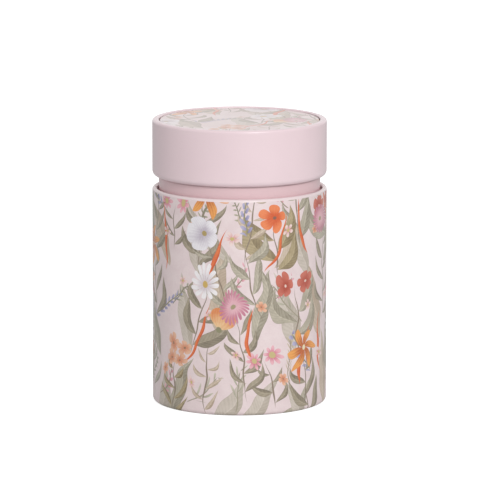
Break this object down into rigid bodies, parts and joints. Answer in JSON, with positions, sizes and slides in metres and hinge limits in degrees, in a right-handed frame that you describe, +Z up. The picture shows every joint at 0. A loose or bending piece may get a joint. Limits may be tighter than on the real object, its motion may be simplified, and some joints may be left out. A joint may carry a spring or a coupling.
{
  "type": "talcum powder tin",
  "caption": "Round powder tin with a flower-printed body, a pink slip lid over a sleeved neck, and a perforated sifter that a turning shutter opens and shuts.",
  "frame": {"origin": "centre of the circle that the tin stands on, at the height of the table", "axes": "+Z up along the tin's axis, -Y to the front, +Y to the folded seam at the back, +X to the right seen from the front"},
  "size_m": [0.074, 0.074, 0.121],
  "materials": {
    "printed_body": "satin lithographed flower print on pale pink",
    "printed_lid_panel": "satin lithographed flower print on pale pink",
    "lid_lacquer": "satin pink lacquer",
    "neck_lacquer": "satin deep pink lacquer",
    "plain_tinplate": "bright drawn tinplate",
    "shutter_lacquer": "satin deep pink lacquer",
    "rivet_brass": "plain",
    "spring_steel": "plain",
    "pulpboard": "matt"
  },
  "bodies": {
    "tin": {"body_shell": "printed_body", "base_panel": "plain_tinplate", "neck_collar": "neck_lacquer", "sifter_pan": "plain_tinplate", "shutter_rivet": "rivet_brass", "spring_washer": "spring_steel"},
    "shutter": {"sifter_shutter": "shutter_lacquer"},
    "lid": {"lid_skirt": "lid_lacquer", "lid_top_panel": "printed_lid_panel", "lid_liner": "pulpboard"}
  },
  "joints": [
    {"name": "lid_lift", "type": "slide", "parent": "tin", "child": "lid", "axis": [0, 0, 1], "range_m": [0, 0.032]},
    {"name": "shutter_turn", "type": "hinge", "parent": "tin", "child": "shutter", "pos_m": [0, 0, 0.1102], "axis": [0, 0, 1], "range_deg": [0, 45]}
  ]
}
